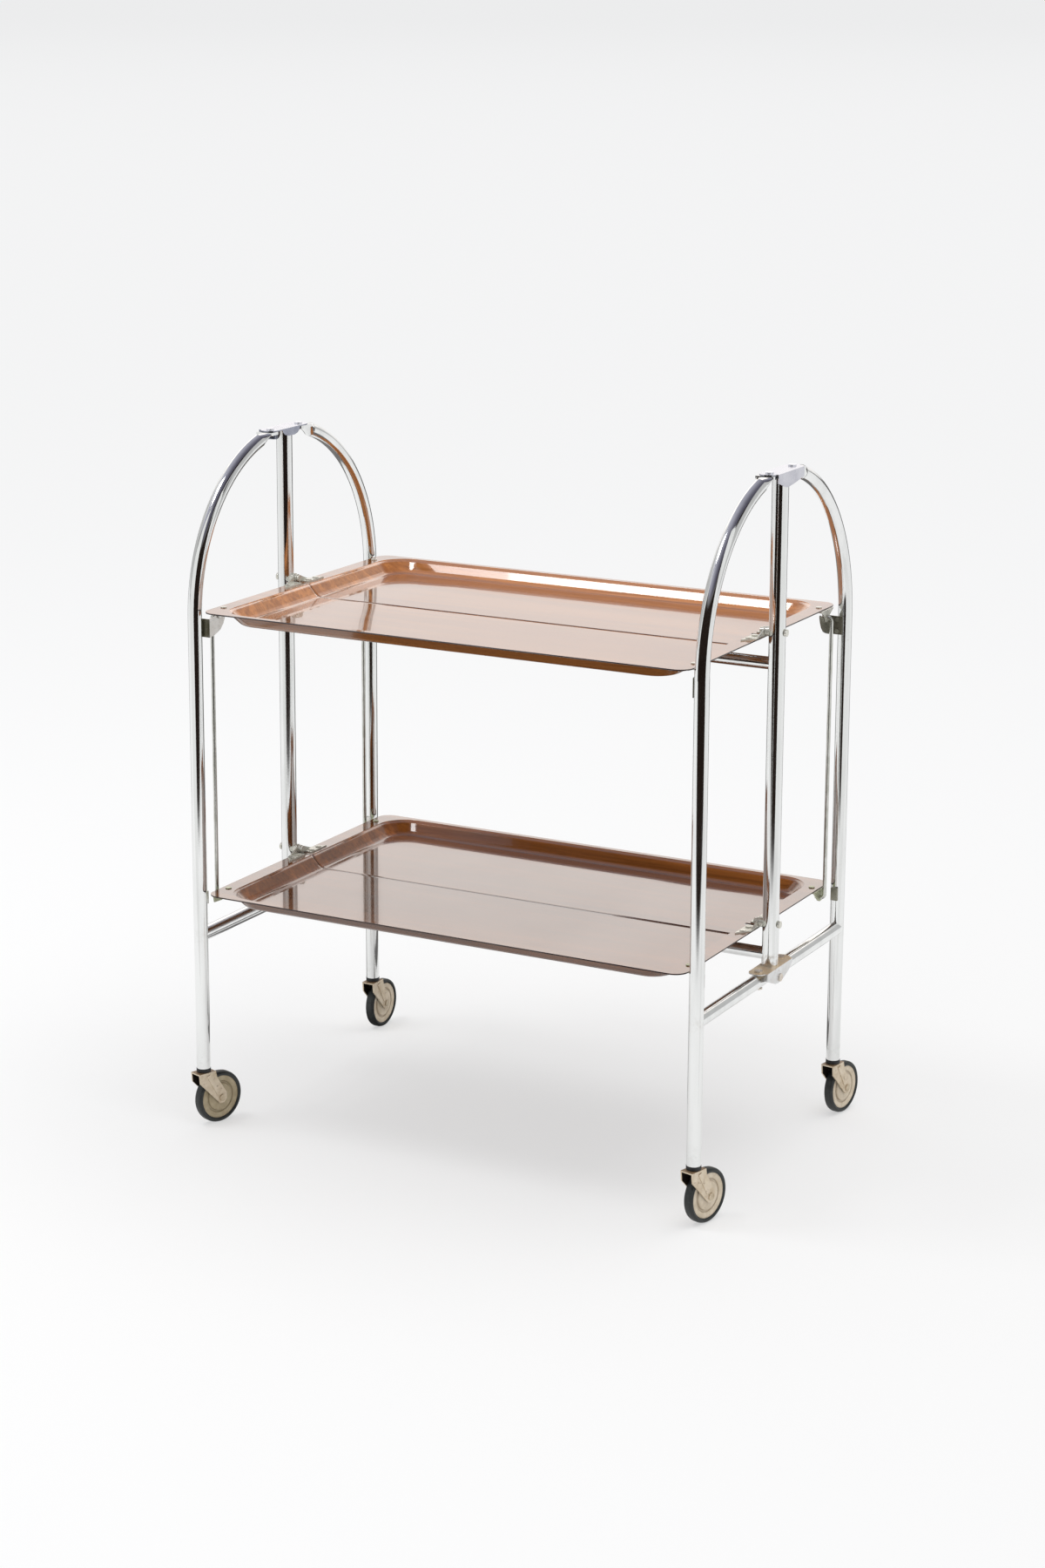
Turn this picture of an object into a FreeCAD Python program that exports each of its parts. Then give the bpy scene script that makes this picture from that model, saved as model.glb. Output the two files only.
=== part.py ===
import FreeCAD, Part
import os
import Sketcher

# Folding two-tier tea trolley.
# Millimetres. X runs along the trays, Y is the depth (front is -Y), Z is up.
# The origin lies on the floor, in the middle between the four legs.
# Two centre posts and two rails form the spine. At each post two wings, each an arched leg
# with half a cross tube, hang on vertical rivets in an upper and a lower bracket. Each tray
# is two halves that hinge on bolts through the posts and fold up against each other.

Vector = FreeCAD.Vector
Placement = FreeCAD.Placement
Rotation = FreeCAD.Rotation
UP = Vector(0, 0, 1)
NEAR = 1e-5

doc = FreeCAD.newDocument("TeaTrolley")

# ---------------------------------------------------------------- driving sizes
SIZES = [
    ("post_out", 13, "post axis beyond the end of the trays"),
    ("leg_in", 9, "leg axis inside the long edge of the trays"),
    ("post_dia", 18.5, "outside of a centre post"),
    ("leg_dia", 16, "outside of a leg tube and a cross tube"),
    ("rail_dia", 14, "outside of a rail"),
    ("tube_wall", 1.2, "wall of every tube"),
    ("foot_level", 70, "lower end of a leg tube"),
    ("arch_drop", 10, "spring of the arch below the upper flange"),
    ("upper_flange", 610, "top of the upper tray's flange"),
    ("tray_spacing", 328, "from the lower tray's flange to the upper's"),
    ("rail_drop", 30, "rail axis below its tray's flange"),
    ("cross_drop", 52, "cross tube axis below the lower flange"),
    ("swing_offset", 30, "wing pivot from the post axis"),
    ("arch_reach", 54, "where the arch tube starts to be crimped, from the post axis"),
    ("crimp_length", 12, "crimped stretch between tube and lug"),
    ("lug_overlap", 1, "how far the lug runs into the crimp"),
    ("crimp_step", 0.2, "how far the crimp stands back from the tube and the lug"),
    ("lug_width", 21, "flattened lug across"),
    ("lug_thick", 3.4, "flattened lug through"),
    ("lug_drop", 1, "middle of the flattened lug below the crown of the arch"),
    ("bracket_sheet", 1.2, "sheet of the post brackets"),
    ("bracket_half", 41, "half length of a bracket's top plate"),
    ("bracket_width", 20.8, "width of a bracket's top plate at its ends"),
    ("plate_end_flat", 0.8, "straight bit at a plate's round end"),
    ("skirt_half", 34, "half length of an outer skirt"),
    ("top_skirt_depth", 15.6, "depth of an upper bracket's outer skirt"),
    ("low_skirt_depth", 17, "depth of a lower bracket's outer skirt"),
    ("skirt_rivet_drop", 11.5, "rivet of a lower bracket's skirt below its plate"),
    ("inner_skirt_half", 18.5, "half length of an inner skirt"),
    ("inner_skirt_depth", 8, "depth of an inner skirt"),
    ("rivet_dia", 5, "wing rivet shank"),
    ("rivet_head_dia", 9, "wing rivet head"),
    ("rivet_head_thick", 1.6, "rivet head height"),
    ("pin_fit", 0.1, "radial clearance of a pin in its hole"),
    ("seat_gap", 0.3, "gap between parts that slide past each other"),
    ("weld_gap", 0.02, "joint line between welded tubes"),
    ("tray_length", 600, "tray from end to end"),
    ("tray_half_depth", 199, "from the seam to the long edge"),
    ("seam_gap", 1, "gap between the halves"),
    ("tray_sheet", 1.5, "thickness of the pressed tray"),
    ("tray_deep", 14.5, "floor below the flange"),
    ("end_flange", 18, "flat flange at the ends"),
    ("side_flange", 7, "flat flange along the front and back"),
    ("wall_slope", 42, "tray wall from upright, degrees"),
    ("flange_corner", 16, "corner radius of the flange"),
    ("pan_corner", 34, "corner radius of the pan"),
    ("cove_rad", 11, "radius between wall and floor"),
    ("hinge_rise", 5, "tray hinge axis above the flange"),
    ("ear_sheet", 1.5, "sheet of the tray hinge ears"),
    ("ear_boss", 4.8, "radius of the ear round the bolt"),
    ("ear_foot", 40, "length of an ear's foot on the flange"),
    ("ear_toe", 2.5, "ear blade above its foot at the far end"),
    ("ear_width", 12, "width of an ear's foot"),
    ("bolt_dia", 5, "tray hinge bolt"),
    ("bolt_head_dia", 8, "tray hinge bolt head and nut"),
    ("bolt_head_thick", 2.6, "height of the bolt head and nut"),
    ("spacer_dia", 11, "washer between ear and post"),
    ("rod_dia", 4.5, "link rod"),
    ("rod_inset", 5.5, "link rod inboard of the leg's plane"),
    ("pin_inset", 16.5, "end of a link rod's pin inboard of the leg's plane"),
    ("rod_clear", 26, "link rod axis inside the leg axis, along Y"),
    ("rod_bend", 4.5, "bend radius of the link rod's axis"),
    ("rod_drop", 10, "link rod pins below the flanges"),
    ("tongue_sheet", 1.4, "sheet of the tray corner brackets"),
    ("tongue_inset", 11, "outer face of a corner bracket inboard of the leg's plane"),
    ("tongue_top", 34, "corner bracket along the flange"),
    ("tongue_tip", 5, "radius of a corner bracket round its pin"),
    ("corner_foot", 14, "width of a corner bracket's foot"),
    ("tack_head_dia", 7, "head of a small rivet"),
    ("tack_head_thick", 1.1, "height of a small rivet head"),
    ("catch_sheet", 1.4, "sheet of the catch hooks"),
    ("catch_inset", 12.8, "outer face of a catch plate inboard of the leg's plane"),
    ("catch_tall", 21, "height of a catch's flange on the leg"),
    ("catch_wide", 13.4, "width of a catch's flange on the leg"),
    ("catch_lip", 15, "catch claw beyond the pin"),
    ("catch_floor", 19, "catch plate below the pin"),
    ("catch_slot_fit", 0.4, "gap between the pin and the catch's slot"),
    ("catch_below", 3, "catch flange below the plate"),
    ("catch_root", 8, "catch plate along its lower edge"),
    ("catch_back", 3, "catch plate behind the pin"),
    ("catch_rivet_in", 5.5, "catch rivets inboard of the leg's plane"),
    ("catch_lead", 1, "bevel at the mouth of the catch slot"),
    ("catch_rivet", 3.8, "catch rivet from the end of the flange"),
    ("catch_rivet_dia", 5, "head of a catch rivet"),
    ("catch_tooth", 4.2, "tip of the catch claw above the pin axis"),
    ("stop_tall", 15, "height of the small stop on a leg"),
    ("stop_thick", 3, "thickness of the small stop on a leg"),
    ("stop_wide", 8, "width of the small stop on a leg"),
    ("collar_dia", 16.6, "castor collar outside"),
    ("collar_thick", 4, "castor collar height"),
    ("plug_long", 30, "castor plug inside the leg"),
    ("plug_fit", 0.05, "radial gap of the plug in the leg"),
    ("neck_dia", 11, "castor neck between collar and fork"),
    ("neck_tall", 1, "height of the castor neck"),
    ("stem_dia", 8, "castor stem"),
    ("stem_long", 24, "castor stem above the fork"),
    ("wheel_dia", 61, "tyre outside"),
    ("tyre_wide", 11.4, "tyre width"),
    ("hub_dia", 50.5, "hub disc outside"),
    ("hub_wide", 8.4, "hub disc width at its rim"),
    ("hub_groove", 35, "groove diameter in the hub disc"),
    ("groove_deep", 1.4, "groove depth in the hub disc"),
    ("hub_rim", 5, "width of the bead on the hub's rim"),
    ("hub_proud", 0.5, "height of the bead on the hub's rim"),
    ("groove_half", 0.8, "half the width of the groove's floor"),
    ("hub_dish", 0.9, "height of the boss over the hub's face"),
    ("tyre_bead", 2, "slope from the hub up to the tyre's side"),
    ("tyre_round", 2.5, "height of the tyre's round shoulder"),
    ("tyre_crown", 3.2, "width of the tyre's round shoulder"),
    ("hub_boss", 14, "boss diameter round the axle"),
    ("axle_dia", 5, "axle rivet shank"),
    ("axle_head_dia", 8, "axle rivet head"),
    ("axle_head_thick", 1.4, "height of the axle rivet head"),
    ("castor_trail", 20, "axle behind the swivel axis"),
    ("fork_sheet", 1.6, "sheet of the castor fork"),
    ("fork_inside", 13.2, "between the fork's cheeks"),
    ("fork_front", 12, "fork in front of the swivel axis"),
    ("fork_back", 11.5, "fork behind the swivel axis"),
    ("fork_cheek", 11.5, "upright front edge of a cheek"),
    ("rib_proud", 0.8, "pressed rib on a cheek"),
    ("fork_lean", 1.5, "how far the back edge of a cheek leans out"),
    ("rib_half", 2, "half the width of the pressed rib"),
    ("fork_tip", 6.5, "radius of a cheek round the axle"),
    ("yaw_right_front", 76, "castor direction, from +X towards +Y"),
    ("yaw_left_front", 71, "castor direction"),
    ("yaw_right_back", 81, "castor direction"),
    ("yaw_left_back", 90, "castor direction"),
]
sheet = doc.addObject("Spreadsheet::Sheet", "Sizes")
for row, (alias, value, meaning) in enumerate(SIZES, start=1):
    sheet.set(f"A{row}", meaning)
    sheet.set(f"B{row}", str(value))
    sheet.setAlias(f"B{row}", alias)
doc.recompute()

# Sizes that follow from the driving ones, as expressions of the sheet's aliases.
DERIVED = {
    "tray_end": "tray_length / 2",
    "post_x": "tray_length / 2 + post_out",
    "leg_y": "tray_half_depth - leg_in",
    "rod_reach": "tray_half_depth - leg_in - rod_clear",
    "lower_flange": "upper_flange - tray_spacing",
    "cross_level": "lower_flange - cross_drop",
    "arch_level": "upper_flange - arch_drop",
    "lug_level": "arch_level + leg_y - lug_drop",
    "axle_level": "wheel_dia / 2",
    "fork_top": "foot_level - collar_thick - neck_tall",
}


def sheet_expression(text):
    """Put the sheet's name before each alias, and write derived names out."""
    words, word = [], ""
    for letter in text + " ":
        if letter.isalnum() or letter == "_":
            word += letter
            continue
        if word in DERIVED:
            word = "(" + sheet_expression(DERIVED[word]) + ")"
        elif word in ALIASES:
            word = "Sizes." + word
        words.append(word + letter)
        word = ""
    return "".join(words).strip()


ALIASES = {alias for alias, value, meaning in SIZES}


def size(text):
    """The value of an expression of sizes, in millimetres or degrees."""
    result = sheet.evalExpression(sheet_expression(text).replace("Sizes.", ""))
    return float(getattr(result, "Value", result))


def bind(thing, name, text):
    """Tie one property of an object to the sheet."""
    thing.setExpression(name, sheet_expression(text))


def place(thing, x="0", y="0", z="0", axis=UP, angle=0):
    """Turn an object about an axis, then tie its place to the sheet."""
    thing.Placement = Placement(Vector(size(x), size(y), size(z)), Rotation(axis, angle))
    for letter, text in (("x", x), ("y", y), ("z", z)):
        bind(thing, "Placement.Base." + letter, text)
    return thing


# ---------------------------------------------------------------- feature helpers
def new_body(label):
    body = doc.addObject("PartDesign::Body", label)
    body.Label = label
    return body


def new_sketch(body, plane, offset="0"):
    """An empty sketch on one of the body's origin planes, moved along the plane's normal."""
    sketch = body.newObject("Sketcher::SketchObject", "Sketch")
    origin = {feature.Role: feature for feature in body.Origin.OriginFeatures}
    sketch.AttachmentSupport = [(origin[plane + "_Plane"], "")]
    sketch.MapMode = "FlatFace"
    sketch.AttachmentOffset = Placement(Vector(0, 0, size(offset)), Rotation())
    bind(sketch, "AttachmentOffset.Base.z", offset)
    return sketch


def fix(sketch, kind, geometry, point, text):
    """One dimension of a sketch, tied to the sheet."""
    index = sketch.addConstraint(Sketcher.Constraint(kind, geometry, point, size(text)))
    bind(sketch, f"Constraints[{index}]", text)


def add_outline(sketch, corners):
    """A closed outline of straight sides; every corner is dimensioned from the origin."""
    points = [Vector(size(x), size(y), 0) for x, y in corners]
    first = sketch.GeometryCount
    for here, there in zip(points, points[1:] + points[:1]):
        sketch.addGeometry(Part.LineSegment(here, there))
    for number, (x, y) in enumerate(corners):
        side = first + number
        following = first + (number + 1) % len(corners)
        sketch.addConstraint(Sketcher.Constraint("Coincident", side, 2, following, 1))
        fix(sketch, "DistanceX", side, 1, x)
        fix(sketch, "DistanceY", side, 1, y)


def add_circle(sketch, x, y, radius):
    circle = Part.Circle(Vector(size(x), size(y), 0), UP, size(radius))
    index = sketch.addGeometry(circle)
    fix(sketch, "DistanceX", index, 3, x)
    fix(sketch, "DistanceY", index, 3, y)
    radius_index = sketch.addConstraint(Sketcher.Constraint("Radius", index, size(radius)))
    bind(sketch, f"Constraints[{radius_index}]", radius)


def outline(body, plane, corners, offset="0"):
    sketch = new_sketch(body, plane, offset)
    add_outline(sketch, corners)
    return sketch


def circle(body, plane, x, y, radius, offset="0"):
    sketch = new_sketch(body, plane, offset)
    add_circle(sketch, x, y, radius)
    return sketch


def pad(body, sketch, length, centred=False, backwards=False):
    feature = body.newObject("PartDesign::Pad", "Pad")
    feature.Profile = sketch
    bind(feature, "Length", length)
    feature.Midplane = centred
    feature.Reversed = backwards
    return feature


def pocket(body, sketch, length, centred=False, backwards=False):
    feature = body.newObject("PartDesign::Pocket", "Pocket")
    feature.Profile = sketch
    bind(feature, "Length", length)
    feature.Midplane = centred
    feature.Reversed = backwards
    return feature


def revolve(body, sketch):
    """Turn a sketch of the XZ plane once about the body's Z axis."""
    feature = body.newObject("PartDesign::Revolution", "Revolution")
    feature.Profile = sketch
    feature.ReferenceAxis = (sketch, ["V_Axis"])
    feature.Angle = 360
    return feature


def round_edges(body, base, chosen, radius):
    """Fillet the edges of a feature that the test picks out by their middle and direction."""
    doc.recompute()
    names = []
    for number, edge in enumerate(base.Shape.Edges, start=1):
        middle = edge.valueAt((edge.FirstParameter + edge.LastParameter) / 2)
        first, last = edge.Vertexes[0].Point, edge.Vertexes[-1].Point
        if chosen(middle, last - first):
            names.append(f"Edge{number}")
    feature = body.newObject("PartDesign::Fillet", "Fillet")
    feature.Base = (base, names)
    bind(feature, "Radius", radius)
    return feature


def upright(middle, run):
    return abs(run.z) > 0.9 * run.Length > 0


def rod_piece(label, radius, height, x="0", y="0", z="0", axis=UP, angle=0):
    """A plain cylinder with its size and place tied to the sheet."""
    piece = doc.addObject("Part::Cylinder", label)
    bind(piece, "Radius", radius)
    bind(piece, "Height", height)
    return place(piece, x, y, z, axis, angle)


def cut(label, base, tool):
    piece = doc.addObject("Part::Cut", label)
    piece.Base, piece.Tool = base, tool
    piece.Label = label
    return piece


def fuse(label, pieces):
    piece = doc.addObject("Part::MultiFuse", label)
    piece.Shapes = pieces
    piece.Label = label
    return piece


def group(label, pieces):
    """Several separate solids that make one named piece of the list."""
    piece = doc.addObject("Part::Compound", label)
    piece.Links = pieces
    piece.Label = label
    return piece


def hollow(label, diameter, length, x="0", y="0", z="0", axis=UP, angle=0):
    """A straight tube."""
    outer = rod_piece(label + "_outside", f"{diameter} / 2", length, x, y, z, axis, angle)
    bore = rod_piece(label + "_bore", f"{diameter} / 2 - tube_wall", length, x, y, z, axis, angle)
    return cut(label, outer, bore)


def along_x(side):
    """Axis and angle that lay a cylinder along +X or -X."""
    return {"axis": Vector(0, 1, 0), "angle": 90 * side}


def rivet(label, shank_dia, head_dia, head_thick, grip, x, y, z, axis=UP, angle=0):
    """A shank between two heads; the place is the middle of the grip."""
    turn = Rotation(axis, angle)
    shank = rod_piece(label + "_shank", f"{shank_dia} / 2", f"{grip} + 2 * {head_thick}", "0", "0",
                      f"-({grip}) / 2 - {head_thick}")
    top = rod_piece(label + "_top", f"{head_dia} / 2", head_thick, "0", "0", f"({grip}) / 2")
    foot = rod_piece(label + "_foot", f"{head_dia} / 2", head_thick, "0", "0",
                     f"-({grip}) / 2 - {head_thick}")
    piece = fuse(label, [shank, top, foot])
    place(piece, x, y, z)
    piece.Placement = Placement(piece.Placement.Base, turn)
    return piece


KEPT = []


def keep(piece):
    """Put a finished sub-part on the list of what is written out."""
    KEPT.append(piece)
    return piece


# ---------------------------------------------------------------- the spine
def make_post(side, name):
    """A centre post from the lower bracket's plate to the upper bracket's plate."""
    foot = "cross_level + leg_dia / 2 + seat_gap + bracket_sheet"
    top = "lug_level + lug_thick / 2 + seat_gap"
    x = f"{side} * post_x"
    tube = hollow(f"post_{name}_tube", "post_dia", f"{top} - ({foot})", x, "0", foot)
    holes = []
    for tier, flange in (("upper", "upper_flange"), ("lower", "lower_flange")):
        holes.append(rod_piece(f"post_{name}_{tier}_hole", "bolt_dia / 2", "2 * post_dia",
                               f"{side} * post_x - post_dia", "0", f"{flange} + hinge_rise",
                               **along_x(1)))
    keep(cut(f"post_{name}", tube, fuse(f"post_{name}_holes", holes)))


def make_rail(tier, flange):
    """A rail between the posts, with its ends hollowed to sit round them."""
    level = f"{flange} - rail_drop"
    tube = hollow(f"rail_{tier}_tube", "rail_dia", "2 * post_x", "-post_x", "0", level, **along_x(1))
    posts = []
    for side, name in ((-1, "left"), (1, "right")):
        posts.append(rod_piece(f"rail_{tier}_{name}_seat", "post_dia / 2 + weld_gap", "2 * rail_dia",
                               f"{side} * post_x", "0", f"{level} - rail_dia"))
    keep(cut(f"rail_{tier}", tube, fuse(f"rail_{tier}_seats", posts)))


# Lower edge of an outer skirt, as shares of its half length and of its depth.
TOP_SKIRT = ((-1, 0.53), (-0.42, 0.95), (-0.24, 1), (0.18, 0.9), (1, 0.63))
LOW_SKIRT = ((-1, 0.44), (-0.35, 0.94), (-0.12, 1), (0.18, 0.95), (0.68, 0.6), (1, 0.13))


def make_bracket(label, side, level, depth, edge):
    """A folded plate over the wing pivots, with an outer skirt and a short inner skirt."""
    body = new_body(label)
    plate_sketch = outline(body, "XY", [
        ("-bracket_width / 2", "-bracket_half"), ("bracket_width / 2", "-bracket_half"),
        ("bracket_width / 2", "bracket_half"), ("-bracket_width / 2", "bracket_half")])
    plate = pad(body, plate_sketch, "bracket_sheet")
    round_edges(body, plate, upright, "(bracket_width - plate_end_flat) / 2")
    skirt_x = "lug_width / 2 + 3 * seat_gap"
    fold = outline(body, "XY", [
        ("0", "-skirt_half"), (f"{skirt_x} + bracket_sheet", "-skirt_half"),
        (f"{skirt_x} + bracket_sheet", "skirt_half"), ("0", "skirt_half")])
    pad(body, fold, "bracket_sheet")
    outer = outline(body, "YZ", [("skirt_half", "bracket_sheet"), ("-skirt_half", "bracket_sheet")]
                    + [(f"skirt_half * ({along})", f"-{depth} * {down}") for along, down in edge],
                    skirt_x)
    pad(body, outer, "bracket_sheet")
    inner = outline(body, "YZ", [
        ("-inner_skirt_half", "bracket_sheet"), ("inner_skirt_half", "bracket_sheet"),
        ("inner_skirt_half * 0.9", "-inner_skirt_depth * 0.4"),
        ("inner_skirt_half * 0.68", "-inner_skirt_depth * 0.8"),
        ("inner_skirt_half * 0.35", "-inner_skirt_depth"),
        ("-inner_skirt_half * 0.35", "-inner_skirt_depth"),
        ("-inner_skirt_half * 0.68", "-inner_skirt_depth * 0.8"),
        ("-inner_skirt_half * 0.9", "-inner_skirt_depth * 0.4")],
        "-(post_dia / 2 + weld_gap + bracket_sheet)")
    pad(body, inner, "bracket_sheet")
    rivets = new_sketch(body, "XY")
    for end in (-1, 1):
        add_circle(rivets, "0", f"{end} * swing_offset", "rivet_dia / 2")
    pocket(body, rivets, "4 * bracket_sheet", centred=True)
    place(body, f"{side} * post_x", "0", level, angle=0 if side > 0 else 180)
    keep(body)


def make_bracket_rivets(upper_level, lower_level):
    """The eight vertical rivets that the wings turn on, and one in each lower skirt."""
    rivets = []
    upper_grip = "bracket_sheet + lug_thick + 2 * seat_gap"
    lower_grip = "bracket_sheet + leg_dia + 2 * seat_gap"
    for side, side_name in ((-1, "left"), (1, "right")):
        for end, end_name in ((-1, "front"), (1, "back")):
            x, y = f"{side} * post_x", f"{end} * swing_offset"
            name = f"{side_name}_{end_name}"
            rivets.append(rivet(f"upper_rivet_{name}", "rivet_dia", "rivet_head_dia", "rivet_head_thick",
                                upper_grip, x, y, f"{upper_level} + bracket_sheet - ({upper_grip}) / 2"))
            rivets.append(rivet(f"lower_rivet_{name}", "rivet_dia", "rivet_head_dia", "rivet_head_thick",
                                lower_grip, x, y, f"{lower_level} + bracket_sheet - ({lower_grip}) / 2"))
        skirt = "lug_width / 2 + 3 * seat_gap + bracket_sheet"
        rivets.append(rod_piece(f"skirt_rivet_{side_name}", "rivet_head_dia / 2", "rivet_head_thick",
                                f"{side} * (post_x + {skirt})", "0",
                                f"{lower_level} - skirt_rivet_drop", **along_x(side)))
    keep(group("bracket_rivets", rivets))


def make_hinge_bolts():
    """The four bolts that the tray halves turn on, and the washers beside the posts."""
    bolts, spacers = [], []
    for side, side_name in ((-1, "left"), (1, "right")):
        for tier, flange in (("upper", "upper_flange"), ("lower", "lower_flange")):
            name = f"{tier}_{side_name}"
            inner = "tray_end - 2 * ear_sheet - 2 * seat_gap"
            outer = "post_x + post_dia / 2"
            middle = f"({inner} + {outer}) / 2"
            bolts.append(rivet(f"bolt_{name}", "bolt_dia", "bolt_head_dia", "bolt_head_thick",
                               f"{outer} - ({inner})", f"{side} * {middle}", "0",
                               f"{flange} + hinge_rise", **along_x(1)))
            start, reach = f"{side} * (tray_end + seat_gap)", "post_x - tray_end - seat_gap"
            ring = rod_piece(f"spacer_{name}_ring", "spacer_dia / 2", reach, start, "0",
                             f"{flange} + hinge_rise", **along_x(side))
            hole = rod_piece(f"spacer_{name}_hole", "bolt_dia / 2", reach, start, "0",
                             f"{flange} + hinge_rise", **along_x(side))
            post = rod_piece(f"spacer_{name}_post", "post_dia / 2 + weld_gap", "2 * spacer_dia",
                             f"{side} * post_x", "0", f"{flange} + hinge_rise - spacer_dia")
            spacers.append(cut(f"spacer_{name}", ring, fuse(f"spacer_{name}_cuts", [hole, post])))
    keep(group("tray_hinge_bolts", bolts))
    keep(group("tray_hinge_spacers", spacers))


# ---------------------------------------------------------------- the wings
def add_oval(sketch, height, half_wide, half_tall):
    """A level ellipse above the sketch's origin."""
    middle = Vector(0, size(height), 0)
    index = sketch.addGeometry(Part.Ellipse(middle, size(half_wide), size(half_tall)))
    sketch.exposeInternalGeometry(index)
    long_axis, short_axis = index + 1, index + 2
    fix(sketch, "DistanceX", index, 3, "0")
    fix(sketch, "DistanceY", index, 3, height)
    sketch.addConstraint(Sketcher.Constraint("Horizontal", long_axis))
    for line, half in ((long_axis, half_wide), (short_axis, half_tall)):
        number = sketch.addConstraint(Sketcher.Constraint("Distance", line, 2 * size(half)))
        bind(sketch, f"Constraints[{number}]", f"2 * ({half})")


def lug_outline(body):
    """The lug seen from above: straight sides and a round end about the rivet."""
    sketch = new_sketch(body, "XY", "lug_level")
    half, start = "lug_width / 2", "-arch_reach + crimp_length - lug_overlap"
    near, far = size("-swing_offset"), size(start)
    rim = Part.Circle(Vector(0, near, 0), UP, size(half))
    sketch.addGeometry(Part.ArcOfCircle(rim, 0, 3.141592653589793))
    corners = [Vector(-size(half), near, 0), Vector(-size(half), far, 0),
               Vector(size(half), far, 0), Vector(size(half), near, 0)]
    for here, there in zip(corners, corners[1:]):
        sketch.addGeometry(Part.LineSegment(here, there))
    for side in range(4):
        sketch.addConstraint(Sketcher.Constraint("Coincident", side, 2, (side + 1) % 4, 1))
    fix(sketch, "DistanceX", 0, 3, "0")
    fix(sketch, "DistanceY", 0, 3, "-swing_offset")
    fix(sketch, "DistanceX", 1, 1, f"-{half}")
    fix(sketch, "DistanceY", 1, 1, "-swing_offset")
    fix(sketch, "DistanceX", 1, 2, f"-{half}")
    fix(sketch, "DistanceY", 1, 2, start)
    fix(sketch, "DistanceX", 2, 2, half)
    fix(sketch, "DistanceY", 2, 2, start)
    fix(sketch, "DistanceY", 3, 2, "-swing_offset")
    return sketch


def make_leg(name, side, end):
    """An arched leg tube whose upper end is crimped to a lug for the upper rivet."""
    body = new_body(f"leg_{name}")
    path = new_sketch(body, "YZ")
    radius, reach = size("leg_y"), size("arch_reach")
    level = size("arch_level")
    foot, spring = Vector(-radius, size("foot_level"), 0), Vector(-radius, level, 0)
    rise = (radius ** 2 - reach ** 2) ** 0.5
    bend = Part.Circle(Vector(0, level, 0), UP, radius)
    start = bend.parameter(Vector(-reach, level + rise, 0))
    straight = path.addGeometry(Part.LineSegment(foot, spring))
    arch = path.addGeometry(Part.ArcOfCircle(bend, start, bend.parameter(spring)))
    path.addConstraint(Sketcher.Constraint("Coincident", straight, 2, arch, 2))
    fix(path, "DistanceX", straight, 1, "-leg_y")
    fix(path, "DistanceY", straight, 1, "foot_level")
    path.addConstraint(Sketcher.Constraint("Vertical", straight))
    fix(path, "DistanceX", arch, 3, "0")
    fix(path, "DistanceY", arch, 3, "arch_level")
    fix(path, "DistanceY", arch, 2, "arch_level")
    fix(path, "DistanceX", arch, 1, "-arch_reach")
    profile = new_sketch(body, "XY", "foot_level")
    add_circle(profile, "0", "-leg_y", "leg_dia / 2")
    add_circle(profile, "0", "-leg_y", "leg_dia / 2 - tube_wall")
    pipe = body.newObject("PartDesign::AdditivePipe", "Tube")
    pipe.Profile = profile
    pipe.Spine = (path, [])
    # the crimp runs from the round tube's end to a flat section in an upright plane
    arch_end_level = "arch_level + sqrt(leg_y ^ 2 - arch_reach ^ 2)"
    round_end = new_sketch(body, "XZ", "arch_reach")
    lean = "asin(arch_reach / leg_y)"
    round_end.AttachmentOffset = Placement(Vector(0, size(arch_end_level), size("arch_reach")),
                                           Rotation(Vector(1, 0, 0), size(lean)))
    bind(round_end, "AttachmentOffset.Base.y", arch_end_level)
    bind(round_end, "AttachmentOffset.Rotation.Angle", lean)
    add_circle(round_end, "0", "0", "leg_dia / 2 - crimp_step")
    flat_end = new_sketch(body, "XZ", "arch_reach - crimp_length")
    add_oval(flat_end, "lug_level", "lug_width / 2 - crimp_step", "lug_thick / 2 - crimp_step")
    crimp = body.newObject("PartDesign::AdditiveLoft", "Crimp")
    crimp.Profile = round_end
    crimp.Sections = [flat_end]
    pad(body, lug_outline(body), "lug_thick", centred=True)
    hole = circle(body, "XY", "0", "-swing_offset", "rivet_dia / 2 + pin_fit", "lug_level")
    pocket(body, hole, "4 * lug_thick", centred=True)
    place(body, f"{side} * post_x", angle=0 if end < 0 else 180)
    keep(body)


def make_cross_tube(name, side, end):
    """Half a cross tube, welded to the leg and drilled for the lower rivet."""
    inner = "swing_offset - leg_dia / 2"
    turn = {"axis": Vector(1, 0, 0), "angle": -90 * end}
    tube = hollow(f"cross_tube_{name}_tube", "leg_dia", f"leg_y - ({inner})",
                  f"{side} * post_x", f"{end} * ({inner})", "cross_level", **turn)
    leg = rod_piece(f"cross_tube_{name}_leg", "leg_dia / 2 + weld_gap", "2 * leg_dia",
                    f"{side} * post_x", f"{end} * leg_y", "cross_level - leg_dia")
    hole = rod_piece(f"cross_tube_{name}_hole", "rivet_dia / 2 + pin_fit", "2 * leg_dia",
                     f"{side} * post_x", f"{end} * swing_offset", "cross_level - leg_dia")
    keep(cut(f"cross_tube_{name}", tube, fuse(f"cross_tube_{name}_cuts", [leg, hole])))


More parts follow.
